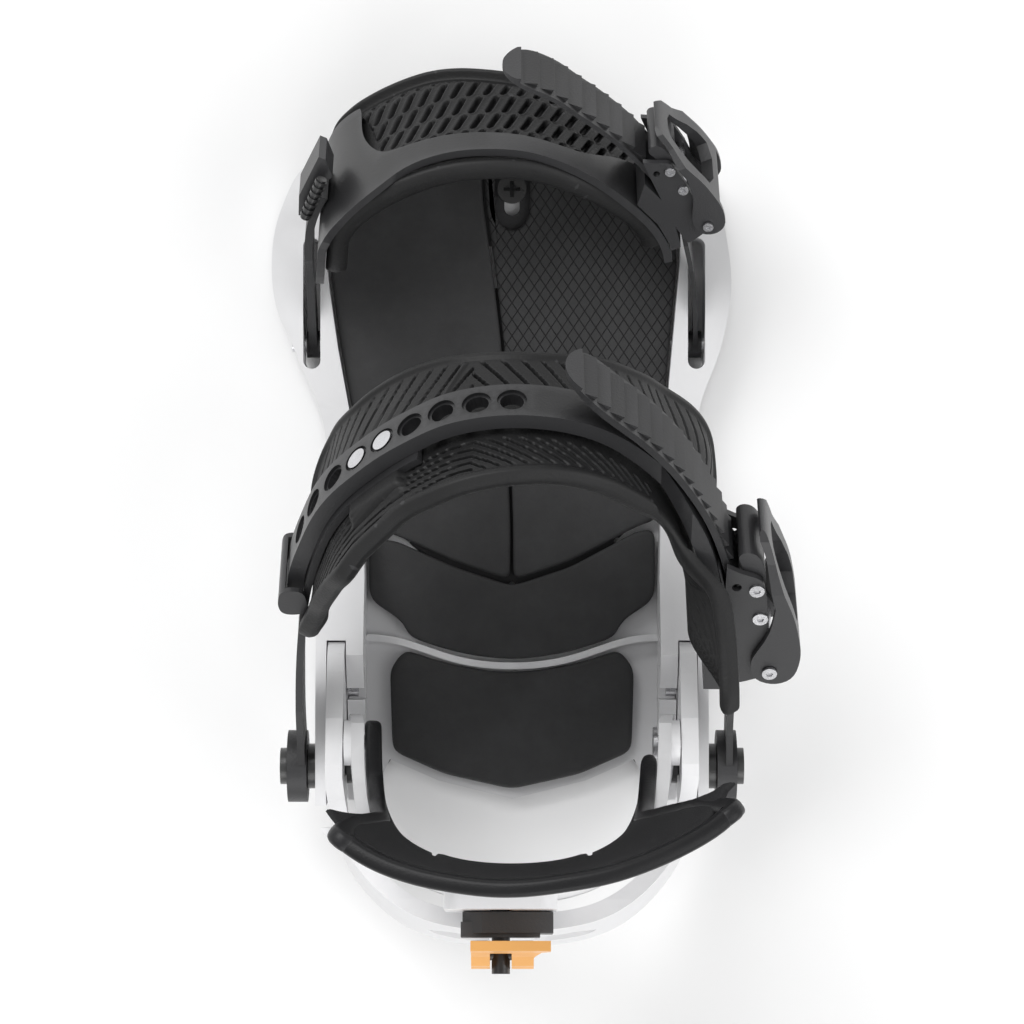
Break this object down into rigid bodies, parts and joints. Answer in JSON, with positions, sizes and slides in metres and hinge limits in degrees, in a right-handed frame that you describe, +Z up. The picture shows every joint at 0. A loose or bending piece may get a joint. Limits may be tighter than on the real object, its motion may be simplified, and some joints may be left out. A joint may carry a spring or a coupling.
{
  "type": "snowboard binding",
  "caption": "Strap-in snowboard binding for a right foot, with baseplate, heelcup, folding highback, and ankle and toe straps with ratchet buckles.",
  "frame": {"origin": "centre of the mounting disc, on the plane of the board surface", "axes": "+Z up from the board, +Y towards the toe, +X to the right of the wearer"},
  "size_m": [0.1661, 0.2854, 0.2138],
  "materials": {
    "white_nylon": "satin",
    "highback_white": "satin",
    "dark_pad": "matte",
    "disc_nylon": "matte",
    "ramp_black": "matte",
    "cushion_eva": "matte",
    "steel": "satin",
    "black_screw": "satin",
    "liner_foam": "matte",
    "strap_black": "satin",
    "pad_rubber": "matte",
    "exo_black": "satin",
    "lever_black": "satin",
    "lean_black": "matte",
    "lever_orange": "satin"
  },
  "bodies": {
    "base": {"baseplate": "white_nylon", "base_cushions": "cushion_eva", "mounting_disc": "disc_nylon", "footbed_front_left": "dark_pad", "footbed_front_right": "dark_pad", "footbed_heel_front": "dark_pad", "footbed_heel_rear": "dark_pad", "toe_ramp_screw": "black_screw", "toe_pivot_pins": "steel", "ankle_bolts": "black_screw", "heelcup_screws": "steel"},
    "toe_ramp": {"toe_ramp": "ramp_black"},
    "heelcup": {"heelcup": "white_nylon"},
    "highback": {"highback_shell": "highback_white", "highback_liner": "liner_foam", "highback_rim": "liner_foam", "highback_pins": "steel"},
    "lean_slider": {"lean_block": "lean_black", "lean_bolt": "black_screw", "lean_pin": "black_screw"},
    "lean_lever": {"lean_lever": "lever_orange"},
    "ankle_strap": {"ankle_connector": "strap_black", "ankle_exoframe": "exo_black", "ankle_keeper": "lever_black", "ankle_studs": "steel", "ankle_pad": "pad_rubber", "ankle_buckle_frame": "lever_black", "ankle_buckle_rivets": "steel", "ankle_pawl_spring": "steel"},
    "ankle_lever": {"ankle_lever": "lever_black"},
    "ankle_pawl": {"ankle_pawl": "lever_black"},
    "ankle_ladder": {"ankle_ladder": "strap_black"},
    "toe_strap": {"toe_connector": "strap_black", "toe_exoframe": "exo_black", "toe_pad": "pad_rubber", "toe_adjuster": "lever_black", "toe_adjuster_screw": "black_screw", "toe_buckle_frame": "lever_black", "toe_buckle_rivets": "steel", "toe_pawl_spring": "steel"},
    "toe_lever": {"toe_lever": "lever_black"},
    "toe_pawl": {"toe_pawl": "lever_black"},
    "toe_ladder": {"toe_ladder": "strap_black"}
  },
  "joints": [
    {"name": "toe_ramp_slide", "type": "slide", "parent": "base", "child": "toe_ramp", "axis": [0, 1, 0], "range_m": [-0.006, 0.006]},
    {"name": "heelcup_slide", "type": "slide", "parent": "base", "child": "heelcup", "axis": [0, 1, 0], "range_m": [-0.008, 0]},
    {"name": "highback_fold", "type": "hinge", "parent": "heelcup", "child": "highback", "pos_m": [0, -0.098, 0.05], "axis": [-1, 0, 0], "range_deg": [0, 14]},
    {"name": "lean_slide", "type": "slide", "parent": "highback", "child": "lean_slider", "axis": [0, 0.134, 0.991], "range_m": [0, 0.012]},
    {"name": "lean_lever_flip", "type": "hinge", "parent": "lean_slider", "child": "lean_lever", "pos_m": [0, -0.15974, 0.09373], "axis": [1, 0, 0], "range_deg": [0, 95]},
    {"name": "ankle_swing", "type": "hinge", "parent": "base", "child": "ankle_strap", "pos_m": [0, -0.1063, 0.036], "axis": [1, 0, 0], "range_deg": [-12, 5]},
    {"name": "ankle_ladder_swing", "type": "hinge", "parent": "base", "child": "ankle_ladder", "pos_m": [0, -0.1063, 0.036], "axis": [1, 0, 0], "range_deg": [-12, 5]},
    {"name": "ankle_lever_open", "type": "hinge", "parent": "ankle_strap", "child": "ankle_lever", "pos_m": [0.0788, -0.06327, 0.07474], "axis": [0, 0.6691, -0.7431], "range_deg": [0, 75]},
    {"name": "ankle_pawl_press", "type": "hinge", "parent": "ankle_strap", "child": "ankle_pawl", "pos_m": [0.0737, -0.03949, 0.09616], "axis": [0, -0.6691, 0.7431], "range_deg": [0, 8], "stiffness_Nm_per_rad": 0.03, "springref_deg": -17.19},
    {"name": "toe_swing", "type": "hinge", "parent": "base", "child": "toe_strap", "pos_m": [0, 0.03, 0.008], "axis": [1, 0, 0], "range_deg": [-3, 15]},
    {"name": "toe_ladder_swing", "type": "hinge", "parent": "base", "child": "toe_ladder", "pos_m": [0, 0.03, 0.008], "axis": [1, 0, 0], "range_deg": [-3, 15]},
    {"name": "toe_lever_open", "type": "hinge", "parent": "toe_strap", "child": "toe_lever", "pos_m": [0.0616, 0.0752, 0.04592], "axis": [0, 0.6428, -0.766], "range_deg": [0, 75]},
    {"name": "toe_pawl_press", "type": "hinge", "parent": "toe_strap", "child": "toe_pawl", "pos_m": [0.04923, 0.08976, 0.05815], "axis": [0, -0.6428, 0.766], "range_deg": [0, 8], "stiffness_Nm_per_rad": 0.02, "springref_deg": -17.19}
  ],
  "couplings": [
    {"joint": "ankle_ladder_swing", "follows": "ankle_swing", "ratio": 1},
    {"joint": "toe_ladder_swing", "follows": "toe_swing", "ratio": 1}
  ]
}
